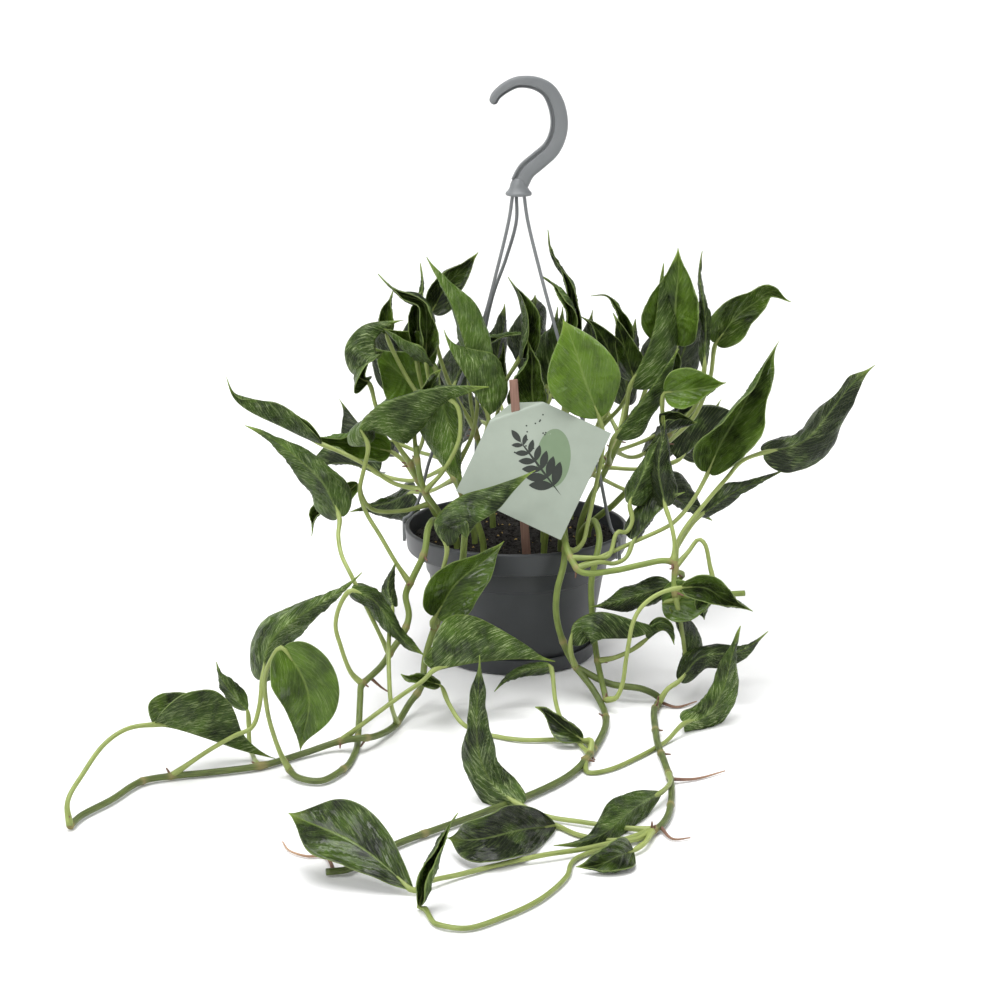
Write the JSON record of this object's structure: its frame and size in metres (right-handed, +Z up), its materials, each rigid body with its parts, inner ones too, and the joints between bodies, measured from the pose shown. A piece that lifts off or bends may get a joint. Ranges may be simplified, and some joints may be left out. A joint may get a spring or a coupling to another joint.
{
  "type": "potted trailing house plant",
  "caption": "Trailing house plant with folded, streaked leaves in a round plastic hanging pot with drip saucer, wire straps and hook, with a staked care card.",
  "frame": {"origin": "centre of the drip saucer's underside, on the surface that the pot stands on", "axes": "+Z up along the pot's axis, -Y towards the side that the care card faces and the stems trail to"},
  "size_m": [0.4832, 0.6027, 0.3874],
  "materials": {
    "pot_plastic": "satin",
    "hanger_plastic": "satin",
    "compost": "matte",
    "stake_wood": "matte",
    "card": "matte",
    "foliage": "satin"
  },
  "bodies": {
    "root": {"pot": "pot_plastic", "drip_saucer": "pot_plastic", "compost": "compost", "hook": "hanger_plastic", "strap_left": "hanger_plastic", "strap_right": "hanger_plastic", "strap_back": "hanger_plastic", "stake": "stake_wood", "care_card": "card", "crown_stem_1": "foliage", "crown_stem_2": "foliage", "crown_stem_3": "foliage", "crown_stem_4": "foliage", "crown_stem_5": "foliage", "crown_stem_6": "foliage", "crown_stem_7": "foliage", "crown_stem_8": "foliage", "crown_stem_9": "foliage", "crown_stem_10": "foliage", "crown_stem_11": "foliage", "trailing_stem_left": "foliage", "trailing_stem_bent": "foliage", "trailing_stem_centre": "foliage", "trailing_stem_right": "foliage"}
  },
  "joints": []
}
